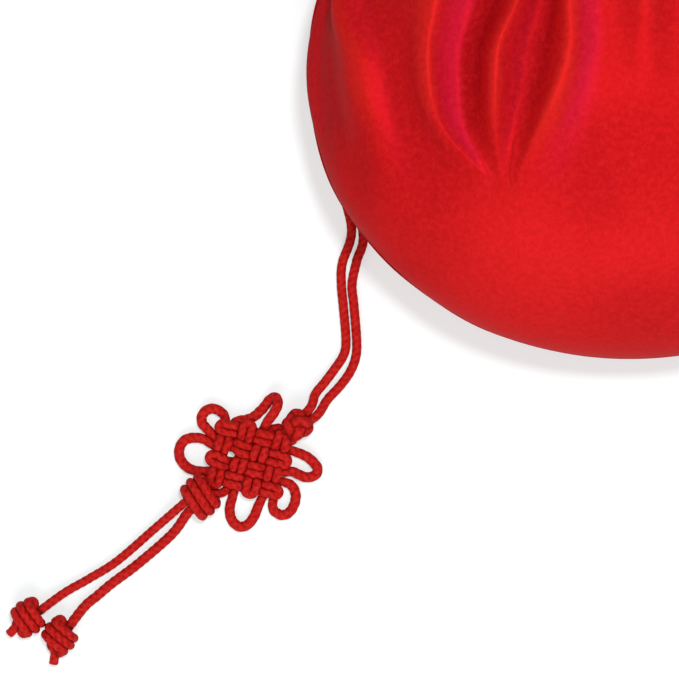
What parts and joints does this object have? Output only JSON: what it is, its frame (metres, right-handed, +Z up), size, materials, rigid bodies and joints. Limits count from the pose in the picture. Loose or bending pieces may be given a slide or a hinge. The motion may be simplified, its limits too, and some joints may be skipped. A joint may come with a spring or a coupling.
{
  "type": "kinchaku drawstring pouch",
  "caption": "Soft satin drawstring pouch lying on its back, mouth drawn in by a cord whose ends are tied in a woven knot and hang as two knotted tails.",
  "frame": {"origin": "middle of the bag's box, on the floor that it lies on", "axes": "+Y from the round bottom to the mouth, +Z up from the back panel to the front panel, -X to the side where the cord leaves"},
  "size_m": [0.2006, 0.2245, 0.0561],
  "materials": {
    "satin": "satin weave with a soft sheen",
    "facing": "matte lining weave",
    "cord": "twisted cord, soft sheen"
  },
  "bodies": {
    "root": {"front_panel": "satin", "back_panel": "satin", "hem_facing": "facing", "drawstring_loop": "cord", "draw_cord_a": "cord", "draw_cord_b": "cord", "button_knot": "cord", "endless_knot_a": "cord", "endless_knot_b": "cord", "wrap_knot": "cord", "tail_a": "cord", "tail_b": "cord", "end_knot_a": "cord", "end_knot_b": "cord"}
  },
  "joints": []
}
